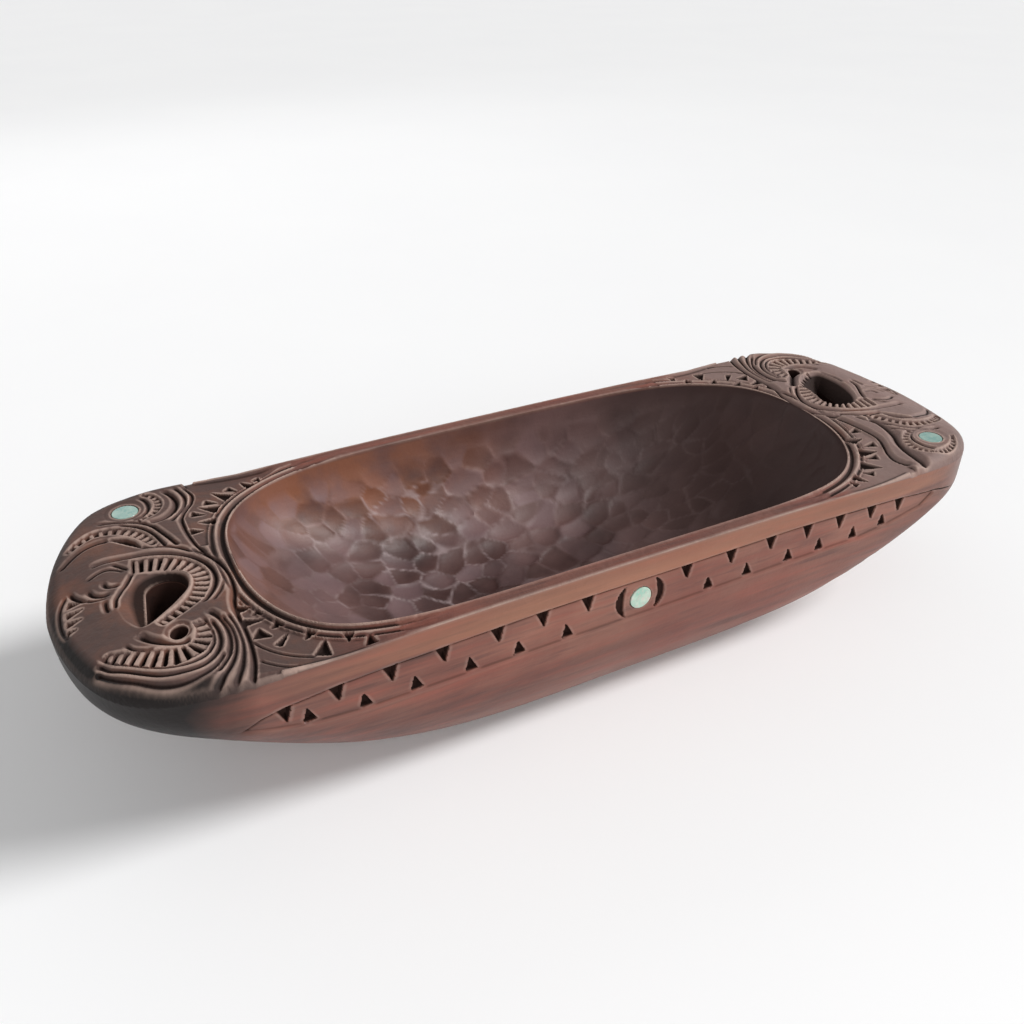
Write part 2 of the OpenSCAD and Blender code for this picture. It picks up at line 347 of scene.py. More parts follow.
# Pointed chips: middle of the flat edge, tip, length of the flat edge
CHIPS = (
    ((-191, -38.5), (-184.5, -39), 6), ((-190.5, -49.5), (-181, -49.5), 5.5),
    ((-187.5, -59), (-181.5, -63), 8), ((-180.5, -71), (-174, -63.5), 3.6),
    ((-164.5, -84.5), (-160.5, -74.5), 7), ((-143, -87.5), (-141.5, -80), 5.5),
    ((-180.8, -43.5), (-185, -45), 5), ((-174.5, -54.5), (-179.5, -57.5), 5.5),
    ((-163.5, -66), (-168, -70.5), 5), ((-149, -74.5), (-151, -80), 5), ((-196, 37), (-189.5, 36.5), 6),
    ((-192, 55), (-185.5, 53), 5.5), ((-183, 66), (-176.5, 63.5), 5.5),
    ((-168.5, 78), (-163.5, 73.5), 5), ((-151, 83), (-149, 78), 4.5), ((-181, 44.5), (-189.5, 45.5), 7),
    ((-177, 56.5), (-186, 61), 8), ((-168, 67), (-176, 75), 8), ((-154.5, 74.5), (-159, 82), 6),
    # teeth
    ((-260, 1), (-251.5, -1.5), 4.8), ((-261, -7), (-253, -6.6), 4.4),
    ((-261.6, -13.5), (-254.5, -13.6), 4.4), ((-262, -19.5), (-257, -19.6), 3.2),
)
CHIP_GROWTH = 1.2  # the chips above grow by this much
CHIP_EDGE, CHIP_DEPTH = 1.4, 2.8  # depth at a chip's edge, and how much deeper its middle is
PANEL_DEPTH = 1.8
BAND_FLOOR, NOTCH_DEPTH = 1.1, 3.3
LENS_DEPTH = 3.6
CUT_SCALE, CUT_SPREAD = 1.35, 1.9  # every cut is this much deeper and wider than listed

# Depth of the rings round the hollow against the distance from its edge
RING_AT = (0, 0.9, 1.7, 3.3, 4.6, 6.0, 7.4, 8.6, 9.8, 11.2)
RING_CUT = (0, 0.1, 2.1, 2.6, 1.0, 0.1, 1.6, 1.8, 0.3, 0)

# Edges of the two lowered panels, as y and then x
NEAR_PANEL = ((-95, -86, -77, -66, -42, -32, -24), (-198, -194, -192, -190.6, -190.6, -189.5, -187.5))
FAR_PANEL = ((18, 32, 52, 60, 68, 76, 85), (-195, -197, -197, -193, -189, -187, -190))


def grown(chip):
    """A chip of the left end at its full size."""
    base, tip, width = chip
    tip = tuple(b + (t - b) * CHIP_GROWTH for b, t in zip(base, tip))
    return base, tip, width * CHIP_GROWTH


def chip_form(x, y, base, tip, width):
    """Distance inside a pointed chip, and the direction out of its nearest edge."""
    base, tip = np.array(base, float), np.array(tip, float)
    across = np.array([-(tip - base)[1], (tip - base)[0]]) / math.dist(base, tip) * width / 2
    corners = [base - across, base + across, tip]
    if np.cross(corners[1] - corners[0], corners[2] - corners[0]) < 0:
        corners.reverse()
    inside = np.full(len(x), FAR)
    out_x, out_y = np.zeros(len(x)), np.zeros(len(x))
    for a, b in zip(corners, corners[1:] + corners[:1]):
        normal = np.array([(b - a)[1], -(b - a)[0]]) / math.dist(a, b)
        d = -((x - a[0]) * normal[0] + (y - a[1]) * normal[1])
        closer = d < inside
        inside[closer], out_x[closer], out_y[closer] = d[closer], normal[0], normal[1]
    return inside, out_x, out_y


def disc_form(x, y, middle, radius):
    dx, dy = x - middle[0], y - middle[1]
    r = np.maximum(np.hypot(dx, dy), 1e-6)
    return radius - r, dx / r, dy / r


def snap(x, y, form, reach):
    """Moves the points that lie within reach of a form's edge onto it."""
    inside, out_x, out_y = form(x, y)
    close = np.abs(inside) < reach
    x[close] += out_x[close] * inside[close]
    y[close] += out_y[close] * inside[close]


def end_forms():
    forms = [lambda x, y, c=c: chip_form(x, y, *grown(c)) for c in CHIPS]
    forms.append(lambda x, y: disc_form(x, y, END_DISC, END_POCKET_R))
    return forms


def around(line, margin, x, y):
    """The points within a margin of the line's box."""
    start, end = line.min(0) - margin, line.max(0) + margin
    return np.flatnonzero((x > start[0]) & (x < end[0]) & (y > start[1]) & (y < end[1]))


def deepen(cut, at, depth):
    """Cuts at least this deep at some of the points."""
    cut[at] = np.maximum(cut[at], depth)


def cut_lines(x, y, cut, lines):
    for half, depth, points in lines:
        line = spline(points)
        reach = half * CUT_SPREAD
        near = around(line, reach, x, y)
        d, where, total = nearest(line, x[near], y[near])
        taper = smooth(np.minimum(where, total - where) / 4 + 0.25)
        deepen(cut, near, CUT_SCALE * depth * taper * (1 - np.minimum(d / reach, 1)) ** 1.5)


def cut_mouths(x, y, cut, flip):
    """The sloping sides of each end's large opening."""
    eye = large_eye_loop()
    for end, (depth, points) in zip((1, -1), MOUTHS):
        mouth = spline(points + points[:1])
        near = np.flatnonzero((flip == end) & in_polygon(mouth, x, y))
        out, _, _ = nearest(mouth, x[near], y[near])
        hole = gap_to(eye, x[near], y[near])
        deepen(cut, near, depth * (out / np.maximum(out + hole, 1e-6)) ** 1.3)


def cut_bands(x, y, cut, bands):
    for pitch, stations in bands:
        stations = np.array(stations, float)
        line = spline(stations[:, 1:])
        near = around(line, 8, x, y)
        d, where, total = nearest(line, x[near], y[near])
        _, marks, _ = nearest(line, stations[:, 1], stations[:, 2])
        half = np.interp(where, marks, stations[:, 0]) / 2
        ends = np.where((where > 0.05) & (where < total - 0.05), 1.0, 0.0)
        inside = smooth((half - d) / 0.9) * ends
        phase = np.abs((where / pitch) % 1 - 0.5) * 2
        notch = smooth((phase - 0.38) / 0.4) * smooth((half - d - 0.5) / 1.0)
        deepen(cut, near, inside * BAND_FLOOR + NOTCH_DEPTH * notch * ends)


def cut_lens(x, y, cut):
    stations = np.array(LENS)
    line = spline(stations[:, 1:])
    near = around(line, 4, x, y)
    d, where, total = nearest(line, x[near], y[near])
    half = np.interp(where / total, np.linspace(0, 1, len(stations)), stations[:, 0])
    deepen(cut, near, LENS_DEPTH * smooth((half - d) / 2.0 + 0.1))


def cut_panels(x, y, cut, basin_gap):
    """The two lowered fields between the rings and the heads."""
    near_side = smooth((x - np.interp(y, *NEAR_PANEL)) / 1.5) * smooth((NEAR_PANEL[0][-1] - y) / 4)
    far_side = smooth((x - np.interp(y, *FAR_PANEL)) / 1.5) * smooth((y - FAR_PANEL[0][0]) / 4)
    end = smooth((-134 - x) / 14)
    field = (near_side + far_side) * smooth((basin_gap - 9) / 1.0) * end
    np.maximum(cut, PANEL_DEPTH * field, out=cut)


def cut_one_end(x, y, cut, flip):
    """The cuts and the band that only one end has."""
    for end, lines, bands in ((1, LEFT_CUTS, ()), (-1, RIGHT_CUTS, RIGHT_BANDS)):
        here = np.flatnonzero(flip == end)
        own = cut[here]
        cut_lines(x[here], y[here], own, lines)
        cut_bands(x[here], y[here], own, bands)
        cut[here] = own


def cut_eye_edges(x, y, cut):
    """The rounded edges of the openings."""
    for loop, depth in ((large_eye_loop(), 1.6), (small_eye_loop(), 1.3)):
        near = around(loop, 4, x, y)
        deepen(cut, near, depth * (1 - smooth(gap_to(loop, x[near], y[near]) / 2.6)))


def cut_chips(x, y, cut):
    for chip in CHIPS:
        near = around(np.array(chip[:2], float), 9, x, y)
        inside, _, _ = chip_form(x[near], y[near], *grown(chip))
        pit = CHIP_EDGE + CHIP_DEPTH * smooth(inside / 1.1 + 0.2)
        deepen(cut, near, np.where(inside > ON_EDGE, pit, 0))


def end_cut(x, y, basin_gap, edge_gap, flip):
    """Depth of the carving at points moved to the left end; flip is -1 for those of the right end."""
    cut = np.zeros(len(x))
    cut_panels(x, y, cut, basin_gap)
    cut_lines(x, y, cut, CUTS)
    cut_one_end(x, y, cut, flip)
    ring_fade = smooth((np.abs(x) - 98) / 30)
    cut = np.maximum(cut, np.interp(basin_gap, RING_AT, RING_CUT) * ring_fade)
    cut_bands(x, y, cut, BANDS)
    cut_mouths(x, y, cut, flip)
    cut_lens(x, y, cut)
    cut_eye_edges(x, y, cut)
    # the carving dies out at the outer edge, except where the flutes run over it
    flutes = (x < -184) & (x > -222)
    cut *= np.where(flutes, 0.35 + 0.65 * smooth(edge_gap / 2), smooth((edge_gap - 0.5) / 3))
    cut_chips(x, y, cut)
    # a plain collar round the shell disc
    inside, _, _ = disc_form(x, y, END_DISC, END_POCKET_R)
    collar = smooth((4.5 + inside) / 2)
    return np.where(inside > -5, np.maximum(cut * (1 - collar), 0.35 * collar), cut)


# ---------------- bands along the sides
# Along the side seen in front, left to right, and down from its upper edge

BAND_TOP = ((-212, 24.5), (-204, 24), (-196, 19.5), (-185, 17), (-160, 15), (-100, 14), (-50, 13),
    (25, 13.3), (100, 12.5), (180, 13.2), (211, 15))
BAND_FOOT = ((-212, 24.6), (-204, 25), (-195, 28), (-173, 33), (-146, 35.5), (-100, 36), (25, 36),
    (100, 34.8), (150, 33.5), (173, 30), (200, 23.5), (211, 15.2))
UPPER_NOTCHES = (-186, -162, -136.5, -110.5, -82, -57.5, -32, 28, 57, 84, 110, 134, 158, 180)
LOWER_NOTCHES = (-175, -149, -124, -96, -70, -43, 44, 70, 99, 121.5, 147, 169)
# Sizes of the notches, which are wider in the upper row, and how far the band lies back
UPPER_NOTCH, LOWER_NOTCH, SIDE_NOTCH_DEPTH = (8, 11), (7, 9.5), 3
BAND_RECESS = 1.0
LINE_DEPTH = 1.1
# The curved cuts either side of the disc: radius, width and half height
CRESCENT_R, CRESCENT_W, CRESCENT_H = 12.6, 4.6, 10.4


def band_line(points, s):
    at, down = np.array(points).T
    return np.interp(s, at, down)


def crescent_form(s, v):
    """Distance inside the two curved cuts either side of the disc, which narrow to points."""
    down = v - SIDE_DISC_V
    half = CRESCENT_W / 2 * (1 - (down / CRESCENT_H) ** 2)
    return half - np.abs(np.hypot(s, down * 0.9) - CRESCENT_R)


def side_notches():
    """The chips along both edges of the band, which point into it."""
    chips = []
    for s in UPPER_NOTCHES:
        top = float(band_line(BAND_TOP, s)) - 0.2
        chips.append(((s, top), (s + 1, top + UPPER_NOTCH[1]), UPPER_NOTCH[0]))
    for s in LOWER_NOTCHES:
        foot = float(band_line(BAND_FOOT, s)) - 1.3
        chips.append(((s, foot), (s - 1, foot - LOWER_NOTCH[1]), LOWER_NOTCH[0]))
    return chips


def side_forms():
    forms = [lambda s, v, c=c: chip_form(s, v, *c) for c in side_notches()]
    forms.append(lambda s, v: disc_form(s, v, (0, SIDE_DISC_V), SIDE_POCKET_R))
    return forms


def side_inset(s, v):
    """How far the carving goes into the side, at s along and v down."""
    top, foot = band_line(BAND_TOP, s), band_line(BAND_FOOT, s)
    tall = smooth((foot - top) / 3)
    ends = smooth((212 - np.abs(s)) / 4)
    band = smooth((v - top) / 0.7) * (1 - smooth((v - foot + 1.0) / 2.2)) * tall
    line_end = smooth((s + 208) / 6) * smooth((236 - s) / 4)
    line_top = np.where(s > 211, 15 + (s - 211) * 0.2, top)
    line = LINE_DEPTH * (1 - smooth(np.abs(v - line_top - 0.3) / 1.0)) * line_end
    inset = BAND_RECESS * band * ends + line * np.where(s > 205, 1, 0.6)
    inset = np.maximum(inset, SIDE_NOTCH_DEPTH * smooth(crescent_form(s, v) / 1.2 + 0.3))
    for chip in side_notches():
        near = np.flatnonzero(np.abs(s - chip[0][0]) < 8)
        inside, _, _ = chip_form(s[near], v[near], *chip)
        slope = 0.55 + 0.45 * smooth((s[near] - chip[0][0] + 3) / 4)
        pit = 1.2 + SIDE_NOTCH_DEPTH * slope * smooth(inside / 0.8)
        deepen(inset, near, np.where(inside > ON_EDGE, pit, 0))
    inside, _, _ = disc_form(s, v, (0, SIDE_DISC_V), SIDE_POCKET_R)
    return np.where(inside > ON_EDGE, POCKET_D, inset)


# ---------------- the bowl's mesh

class Surface:
    """Points and triangles gathered from the sheets that meet along shared loops."""

    def __init__(self):
        self.points, self.triangles, self.count = [], [], 0
        self.fields = {"zone": [], "cut": [], "tone": []}

    def add(self, x, y, z, zone, cut=0.0, tone=0.0):
        self.points.append(np.column_stack([x, y, z]))
        for name, value in (("zone", zone), ("cut", cut), ("tone", tone)):
            self.fields[name].append(np.broadcast_to(value, len(x)))
        ids = np.arange(self.count, self.count + len(x))
        self.count += len(x)
        return ids

    def field(self, name):
        return np.concatenate(self.fields[name])

    def heights(self, ids):
        return np.vstack(self.points)[ids, 2]

    def strip(self, upper, lower):
        """Joins two closed loops of the same length."""
        upper_next, lower_next = np.roll(upper, -1), np.roll(lower, -1)
        self.triangles.append(np.column_stack([upper, lower, lower_next]))
        self.triangles.append(np.column_stack([upper, lower_next, upper_next]))

    def ring(self, above, x, y, z, zone, *values):
        """Adds a loop of points under another, facing out on the sides and in elsewhere."""
        row = self.add(x, y, z, zone, *values)
        self.strip(*((above, row) if zone == SIDE else (row, above)))
        return row

    def patch(self, xy, ids, loops, flip=False):
        """Triangulates the points inside the first loop and outside the others."""
        edges = [(int(a), int(b)) for loop in loops for a, b in zip(loop, np.roll(loop, -1))]
        found = delaunay_2d_cdt([Vector(p) for p in xy.tolist()], edges, [], 0, 1e-6, True)
        source = np.array([origins[0] for origins in found[3]])
        faces = source[np.array(found[2])]
        a, b = xy[faces[:, 1]] - xy[faces[:, 0]], xy[faces[:, 2]] - xy[faces[:, 0]]
        x, y = xy[faces].mean(1).T
        keep = np.abs(a[:, 0] * b[:, 1] - a[:, 1] * b[:, 0]) > SLIVER
        keep &= in_polygon(xy[loops[0]], x, y) & outside([xy[loop] for loop in loops[1:]], x, y)
        faces = ids[faces[keep]]
        self.triangles.append(faces[:, ::-1] if flip else faces)


def hex_grid(x0, x1, y0, y1, step):
    rows = np.arange(y0, y1, step * math.sqrt(3) / 2)
    columns = np.arange(x0, x1, step)
    x, y = np.meshgrid(columns, rows)
    x = x + (np.arange(len(rows)) % 2)[:, None] * step / 2
    return x.ravel(), y.ravel()


def in_polygon(loop, x, y):
    """True for the points inside a closed loop."""
    inside = np.zeros(len(x), bool)
    near = around(loop, 0, x, y)
    px, py = x[near], y[near]
    odd = np.zeros(len(near), bool)
    for (ax, ay), (bx, by) in zip(loop, np.roll(loop, -1, 0)):
        if ay == by:
            continue
        crosses = (ay > py) != (by > py)
        odd ^= crosses & (px < (bx - ax) * (py - ay) / (by - ay) + ax)
    inside[near] = odd
    return inside


def outside(loops, x, y):
    """True for the points outside every loop."""
    return ~np.any([in_polygon(loop, x, y) for loop in loops], axis=0)


def well_inside(loop, gap, x, y):
    """The points inside a loop and more than a gap from it."""
    keep = in_polygon(loop, x, y)
    x, y = x[keep], y[keep]
    keep = gap_to(loop, x, y, 2) > gap
    return x[keep], y[keep]


def runs(parts):
    """The numbers of each part's points when the parts are stacked."""
    ends = np.cumsum([len(part) for part in parts])
    return [np.arange(end - len(part), end) for part, end in zip(parts, ends)]


def as_left_end(x, y):
    """The same place on the left end, for a point of either end."""
    flip = np.where(x > 0, -1, 1)
    return x * flip, y * flip, flip


def snap_ends(x, y):
    """Sharpens the chips and pockets of both ends by moving nearby points onto their edges."""
    u, v, flip = as_left_end(x, y)
    for form in end_forms():
        snap(u, v, form, FINE * 0.42)
    return u * flip, v * flip


def top_points(outline, basin, eyes):
    """Grid points over the top, fine on the carved ends."""
    fine_x, fine_y = hex_grid(CARVED_FROM, HALF_LEN, -HALF_W, HALF_W, FINE)
    side_x, side_y = hex_grid(-CARVED_FROM, CARVED_FROM - MEDIUM / 2, -HALF_W, HALF_W, MEDIUM)
    rim = np.abs(side_y) > RIM_FROM
    x = np.concatenate([fine_x, -fine_x, side_x[rim]])
    y = np.concatenate([fine_y, -fine_y, side_y[rim]])
    keep = in_polygon(outline, x, y) & outside([basin] + eyes, x, y)
    x, y = x[keep], y[keep]
    margin = np.where(np.abs(x) < CARVED_FROM, RIM_MARGIN, END_MARGIN)
    keep = (gap_to(outline, x, y, 2) > margin) & (gap_to(basin, x, y, 2) > margin)
    for loop in eyes:
        near = around(loop, 2, x, y)
        keep[near] &= gap_to(loop, x[near], y[near]) > END_MARGIN
    return x[keep], y[keep]


def top_height(x, y, outline, basin):
    """Height of the carved top, and the depth of the carving there."""
    edge_gap = gap_to(outline, x, y, 3)
    curl = np.clip(1 - edge_gap / shoulder(x), 0, 1)
    base = edge_z(x) + (top_z(x) - edge_z(x)) * np.sqrt(1 - curl ** 2)
    u, v, flip = as_left_end(x, y)
    cut = end_cut(u, v, gap_to(basin, x, y, 3), edge_gap, flip)
    pocket = disc_form(u, v, END_DISC, END_POCKET_R)[0] > ON_EDGE
    return np.where(pocket, END_TOP - POCKET_D, base - cut), np.where(pocket, POCKET_D, cut)


def add_top(surface, outline, basin, eyes):
    """The carved top; gives the ids of its loops, and the depth of the carving along the outline."""
    parts = [outline, basin] + eyes + [np.column_stack(snap_ends(*top_points(outline, basin, eyes)))]
    xy = np.vstack(parts)
    loops = runs(parts)[:-1]
    z, cut = top_height(xy[:, 0], xy[:, 1], outline, basin)
    z[loops[1]] -= LIP_DROP
    ids = surface.add(xy[:, 0], xy[:, 1], z, TOP, cut)
    surface.patch(xy, ids, loops)
    return [ids[loop] for loop in loops], cut[loops[0]]


def inward(x):
    """Where the line from the side edge at x meets the middle of the keel."""
    size = np.abs(x)
    return np.sign(x) * np.where(size < KEEL_BEND, size, KEEL_BEND + (size - KEEL_BEND) * 0.6)


def side_points(outline, row_depth):
    """Points down the side below each outline point, for one row depth."""
    x0, y0 = outline.T
    goal_x = inward(x0)
    low_t, high_t = np.zeros(len(x0)), np.full(len(x0), KEEL_SHARE)
    for _ in range(34):
        t = (low_t + high_t) / 2
        deep = hull_depth(x0 + (goal_x - x0) * t, y0 * (1 - t)) > row_depth
        high_t, low_t = np.where(deep, t, high_t), np.where(deep, low_t, t)
    x, y = x0 + (goal_x - x0) * t, y0 * (1 - t)
    return x, y, edge_z(x) - row_depth


def carve_side(x, y, z, forms):
    """Moves the side's points in by the depth of its carving, and gives that depth."""
    side = np.where(y < 0, -1.0, 1.0)
    s, v = -side * x, edge_z(x) - z
    reach = np.flatnonzero((np.abs(x) < 236) & (v > 10.5) & (v < 41))
    moved_s, moved_v = s[reach], v[reach]
    for form in forms:
        snap(moved_s, moved_v, form, 0.34)
    inset = side_inset(moved_s, moved_v)
    x[reach] = -side[reach] * moved_s
    z[reach] = edge_z(x[reach]) - moved_v
    y[reach] -= side[reach] * inset
    deep = np.zeros(len(x))
    deep[reach] = inset
    return deep


def add_sides(surface, outline, above, edge_cut):
    """The sides, in rows from the outline down; gives the last row's places and ids."""
    x0, y0 = outline.T
    deepest = hull_depth(x0 + (inward(x0) - x0) * KEEL_SHARE, y0 * (1 - KEEL_SHARE))
    fit = np.minimum(1, (deepest - 4) / SIDE_ROWS[-1])
    forms = side_forms()
    for depth in SIDE_ROWS:
        x, y, z = side_points(outline, depth * fit)
        deep = carve_side(x, y, z, forms)
        above = surface.ring(above, x, y, z - edge_cut * math.exp(-depth / 3), SIDE, deep)
    start = SIDE_ROWS[-1] * fit
    for share in LOWER_ROWS:
        x, y, z = side_points(outline, start + (deepest - start) * share * 0.9995)
        above = surface.ring(above, x, y, np.maximum(z, 0), SIDE)
    return np.column_stack([x, y]), above


def keel_points(lower, eyes):
    """Grid points under the hull, closer together round the openings."""
    wide_x, wide_y = hex_grid(-HALF_LEN, HALF_LEN, -HALF_W, HALF_W, COARSE)
    near_x, near_y = hex_grid(-240, -200, -60, 12, 1.6)
    u, v, _ = as_left_end(wide_x, wide_y)
    away = (np.abs(u + 220) >= 21) | (np.abs(v + 24) >= 37)
    x = np.concatenate([wide_x[away], near_x, -near_x])
    y = np.concatenate([wide_y[away], near_y, -near_y])
    x, y = well_inside(lower, 1.6, x, y)
    keep = outside(eyes, x, y)
    for loop in eyes:
        keep &= gap_to(loop, x, y) > 0.7
    return x[keep], y[keep]


def add_keel(surface, lower, lower_ids, eyes):
    """The keel and foot inside the sides' last row; gives the ids of the openings' loops."""
    parts = eyes + [np.column_stack(keel_points(lower, eyes))]
    xy = np.vstack(parts)
    z = np.maximum(edge_z(xy[:, 0]) - hull_depth(xy[:, 0], xy[:, 1]), 0)
    ids = np.concatenate([lower_ids, surface.add(xy[:, 0], xy[:, 1], z, SIDE)])
    loops = runs([lower] + parts)[:-1]
    surface.patch(np.vstack([lower, xy]), ids, loops, flip=True)
    return [ids[loop] for loop in loops[1:]]


def add_bore(surface, eye, upper, lower):
    """The wall of one opening, which is a little uneven."""
    top_edge, keel_edge = surface.heights(upper), surface.heights(lower)
    middle = eye.mean(0)
    above = upper
    for share in BORE_ROWS:
        x, y = (middle + (eye - middle) * (1 - 0.25 * math.sin(share * 9) / 12)).T
        z = top_edge + (keel_edge - top_edge) * share
        above = surface.ring(above, x, y, z, BORE, 1 + 4 * share)
    surface.strip(lower, above)


# Gouge marks in the hollow
GOUGE_SEED = 7
GOUGE_STEP, GOUGE_JITTER = 18.5, 8.2
GOUGE_REACH = 36  # no scoop reaches further than this
GOUGE_SLOPE = 0.075
GOUGE_DEEP, GOUGE_TOP = 125, 1.2  # square of the reach that gives 1 mm, and the tallest crest


def hollow_z(x, y):
    return top_z(x) - basin_depth(x, y)


def gouge_cells():
    """Middle, turn, size, slopes and tone of each scoop, laid out along the hollow's unrolled surface."""
    rng = np.random.default_rng(GOUGE_SEED)
    u, w = hex_grid(-222, 222, -145, 145, GOUGE_STEP)
    u = u + rng.uniform(-GOUGE_JITTER, GOUGE_JITTER, len(u))
    w = w + rng.uniform(-GOUGE_JITTER, GOUGE_JITTER, len(u))
    turn = rng.uniform(-0.5, 0.5, len(u)) + 0.3 * smooth((30 - u) / 60)
    size = rng.uniform(0.85, 1.2, len(u))
    brick = smooth((u - 30) / 60)
    slopes = rng.uniform(-GOUGE_SLOPE, GOUGE_SLOPE, (2, len(u)))
    tone = rng.uniform(-1, 1, len(u))
    return zip(u, w, turn, size * (1.1 + 0.35 * brick), size * (0.9 - 0.16 * brick), *slopes, tone)


def gouge_marks(x, y, z):
    """Height of the crests between shallow scoops, a mask of the crest lines, and each scoop's tone."""
    floor = hollow_z(x, 0.0)
    along_x = x + 0.6 * np.sign(x) * (floor - hollow_z(0.0, 0.0))
    across = np.sign(y) * (np.abs(y) + 0.8 * (z - floor))
    best, second = np.full((2, len(x)), 900.0)
    tilt, tone = np.zeros((2, len(x)))
    for u, w, turn, long_size, wide_size, slope_u, slope_w, shade in gouge_cells():
        near = np.flatnonzero((np.abs(along_x - u) < GOUGE_REACH) & (np.abs(across - w) < GOUGE_REACH))
        du, dw = along_x[near] - u, across[near] - w
        a = (du * math.cos(turn) + dw * math.sin(turn)) / long_size
        b = (dw * math.cos(turn) - du * math.sin(turn)) / wide_size
        here = a * a + b * b
        second[near] = np.minimum(second[near], np.maximum(best[near], here))
        closer = here < best[near]
        best[near[closer]] = here[closer]
        tilt[near[closer]] = (a * slope_u + b * slope_w)[closer]
        tone[near[closer]] = shade
    strength = (0.25 + 0.75 * smooth((x + 150) / 50)) * (1 - 0.3 * smooth((x - 40) / 60))
    gap = np.sqrt(second) - np.sqrt(best)
    soft = smooth(gap / 2.8)
    crest = (np.minimum(best / GOUGE_DEEP, GOUGE_TOP) + np.clip(tilt, -0.7, 0.7) * soft + 0.7) * strength
    return crest, (1 - smooth(gap / 2.1)) * strength, tone * soft


def hollow_points(x, y, share):
    """Places on the hollow's surface, moved along its normal by the gouge marks, with the crest mask for
    the painted highlight, and tone.
    """
    z = hollow_z(x, y)
    reach = 0.3
    slope_x = np.clip((hollow_z(x + reach, y) - hollow_z(x - reach, y)) / (2 * reach), -6, 6)
    slope_y = np.clip((hollow_z(x, y + reach) - hollow_z(x, y - reach)) / (2 * reach), -6, 6)
    crest, web_highlight, tone = gouge_marks(x, y, z)
    lift = crest * share / np.sqrt(1 + slope_x ** 2 + slope_y ** 2)
    return x - slope_x * lift, y - slope_y * lift, z + lift, HOLLOW, web_highlight * share, tone * share


def add_hollow(surface, basin, above):
    """The hollow: rows down its wall, and a grid over its floor."""
    from_middle = basin[:, 0] - BASIN_SHIFT
    goal_x = np.sign(from_middle) * np.maximum(np.abs(from_middle) - 60, 0) * 0.9 + BASIN_SHIFT
    for step in range(1, WALL_ROWS + 1):
        t = 0.16 * (step / WALL_ROWS) ** 2.3
        x = basin[:, 0] + (goal_x - basin[:, 0]) * t
        y = basin[:, 1] * (1 - t)
        above = surface.ring(above, *hollow_points(x, y, float(smooth((step - 3) / 8))))
    ring = np.column_stack([x, y])
    x, y = hex_grid(-BASIN_HALF_LEN, BASIN_HALF_LEN + 3, -BASIN_HALF_W, BASIN_HALF_W, BASIN_STEP)
    x, y = well_inside(ring, 0.7, x, y)
    ids = np.concatenate([above, surface.add(*hollow_points(x, y, 1.0))])
    surface.patch(np.vstack([ring, np.column_stack([x, y])]), ids, [np.arange(len(ring))])


def bowl_surface():
    surface = Surface()
    outline, basin = outline_loop(), basin_loop()
    eyes = [loop * end for loop in (large_eye_loop(), small_eye_loop()) for end in (1, -1)]
    (edge, lip, *upper_eyes), edge_cut = add_top(surface, outline, basin, eyes)
    lower, lower_ids = add_sides(surface, outline, edge, edge_cut)
    lower_eyes = add_keel(surface, lower, lower_ids, eyes)
    for eye, upper, under in zip(eyes, upper_eyes, lower_eyes):
        add_bore(surface, eye, upper, under)
    add_hollow(surface, basin, lip)
    return surface


def mesh_object(name, points, triangles):
    """A mesh in metres from points in millimetres."""
    mesh = bpy.data.meshes.new(name)
    mesh.vertices.add(len(points))
    mesh.vertices.foreach_set("co", (points * MM).astype(np.float32).ravel())
    mesh.loops.add(triangles.size)
    mesh.loops.foreach_set("vertex_index", triangles.astype(np.int32).ravel())
    mesh.polygons.add(len(triangles))
    mesh.polygons.foreach_set("loop_start", np.arange(0, triangles.size, 3, dtype=np.int32))
    mesh.polygons.foreach_set("use_smooth", np.ones(len(triangles), bool))
    mesh.update(calc_edges=True)
    mesh.validate()
    mesh.set_sharp_from_angle(angle=math.radians(SHARP_ANGLE))
    item = bpy.data.objects.new(name, mesh)
    bpy.context.scene.collection.objects.link(item)
    return item


def averaged(values, edges, passes):
    """Each value blended with its neighbours' mean, a number of times."""
    count = np.bincount(edges.ravel(), minlength=len(values))
    for _ in range(passes):
        total = np.bincount(edges[:, 0], values[edges[:, 1]], len(values))
        total += np.bincount(edges[:, 1], values[edges[:, 0]], len(values))
        values = 0.4 * values + 0.6 * total / np.maximum(count, 1)
    return values


def relief_bulge_of(mesh, points):
    """Positive on the crests of the carving and negative in its valleys, for any mesh step; it places the
    pale crest colour with its painted highlight, and the painted shade in the valleys.
    """
    edges = np.zeros(len(mesh.edges) * 2, np.int32)
    mesh.edges.foreach_get("vertices", edges)
    edges = edges.reshape(-1, 2)
    normals = np.zeros(len(points) * 3, np.float32)
    mesh.vertices.foreach_get("normal", normals)
    mean = np.column_stack([averaged(points[:, k], edges, 3) for k in range(3)])
    bulge = ((points - mean) * normals.reshape(-1, 3)).sum(1)
    size = np.linalg.norm(points[edges[:, 0]] - points[edges[:, 1]], axis=1)
    count = np.bincount(edges.ravel(), minlength=len(points))
    step = np.bincount(edges[:, 0], size, len(points)) + np.bincount(edges[:, 1], size, len(points))
    return averaged(bulge * (FINE * count / step) ** 2, edges, 1)


def edge_gaps(points, zone):
    """Distance of the top's points from the outline, 0 on the sides and far in the openings."""
    gap = gap_to(outline_loop(), points[:, 0], points[:, 1], 4)
    return np.where(zone == SIDE, 0, np.where(zone == TOP, gap, 20))


def carved_bowl():
    """The bowl's mesh, with the fields that its material reads at each point."""
    surface = bowl_surface()
    points, zone = np.vstack(surface.points), surface.field("zone")
    item = mesh_object("carved_bowl", points, np.vstack(surface.triangles))
    fields = {"cut": surface.field("cut"), "wear": relief_bulge_of(item.data, points),
              "top": zone == TOP, "side": zone == SIDE, "bore": zone == BORE, "hollow": zone == HOLLOW,
              "tone": surface.field("tone"), "gap": edge_gaps(points, zone)}
    for name, values in fields.items():
        layer = item.data.attributes.new(name, "FLOAT", "POINT")
        layer.data.foreach_set("value", values.astype(np.float32))
    return item


